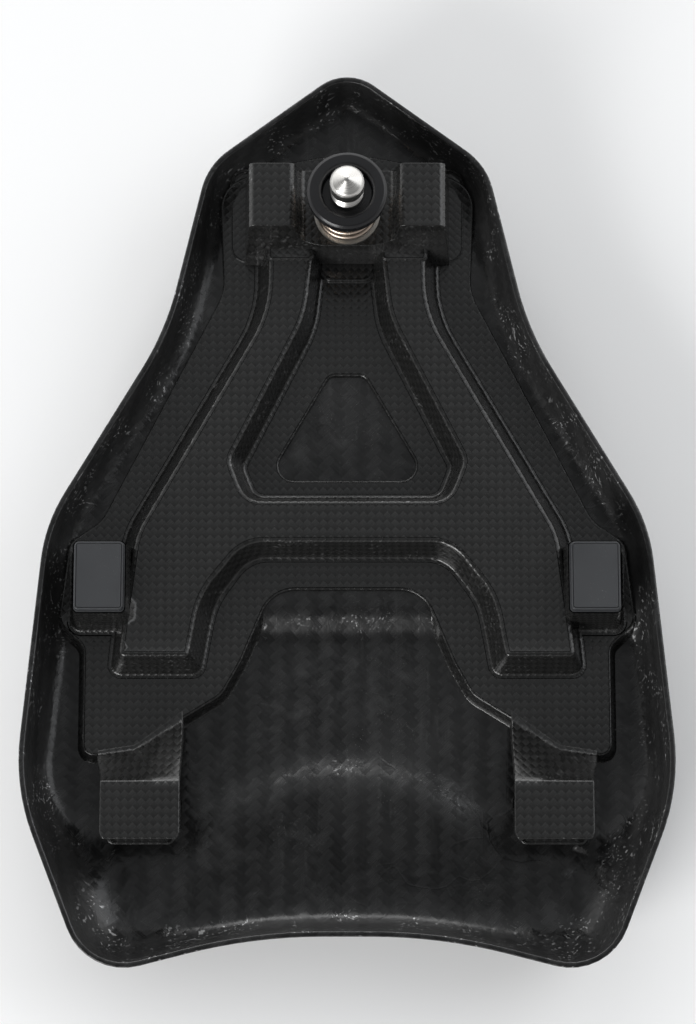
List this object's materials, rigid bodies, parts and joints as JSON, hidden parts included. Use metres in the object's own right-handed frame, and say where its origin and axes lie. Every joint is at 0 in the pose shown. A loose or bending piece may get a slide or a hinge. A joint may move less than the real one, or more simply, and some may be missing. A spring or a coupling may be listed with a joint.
{
  "type": "motorcycle race seat unit",
  "caption": "Carbon-fibre race seat unit, underside up: dished shell with a bonded rib frame, sprung quick-release latch pin, hook tongues, rubber buffers and a foam pad.",
  "frame": {"origin": "centre of the bounding box at the pad's crown, which the seat rests on with its underside up", "axes": "+Y points to the tail and the latch pin, +Z points out of the underside, +X is to the right when +Y is up the page"},
  "size_m": [0.227, 0.3192, 0.0835],
  "materials": {
    "shell_carbon": "clear-coated coarse twill carbon laminate",
    "frame_carbon": "resin-rich plain weave carbon laminate",
    "buffer_rubber": "satin moulded rubber",
    "pin_steel": "turned stainless steel",
    "cup_black": "black anodised, polished edges",
    "spring_steel": "copper-tinted spring wire",
    "zinc_steel": "zinc plated",
    "foam_grey": "closed-cell foam",
    "pad_fabric": "suede-like technical fabric with stitched channels"
  },
  "bodies": {
    "seat_unit": {"outer_shell": "shell_carbon", "frame_base": "frame_carbon", "frame_ribs": "frame_carbon", "latch_bridge": "frame_carbon", "tongue_left": "frame_carbon", "tongue_right": "frame_carbon", "tongue_foot_left": "frame_carbon", "tongue_foot_right": "frame_carbon", "buffer_left": "buffer_rubber", "buffer_right": "buffer_rubber", "latch_pin": "pin_steel", "cup_circlip": "zinc_steel", "latch_spring": "spring_steel", "spring_washer": "zinc_steel", "pin_insert": "zinc_steel", "backing_plate": "zinc_steel", "pin_nut": "zinc_steel", "lock_washer": "zinc_steel", "pad_foam": "foam_grey", "pad_cover": "pad_fabric"},
    "cup": {"spring_cup": "cup_black"}
  },
  "joints": [
    {"name": "cup_slide", "type": "slide", "parent": "seat_unit", "child": "cup", "axis": [0, 0, 1], "range_m": [-0.007, 0], "stiffness_N_per_m": 2500, "springref_m": 0.004, "deforming": ["latch_spring"]}
  ]
}
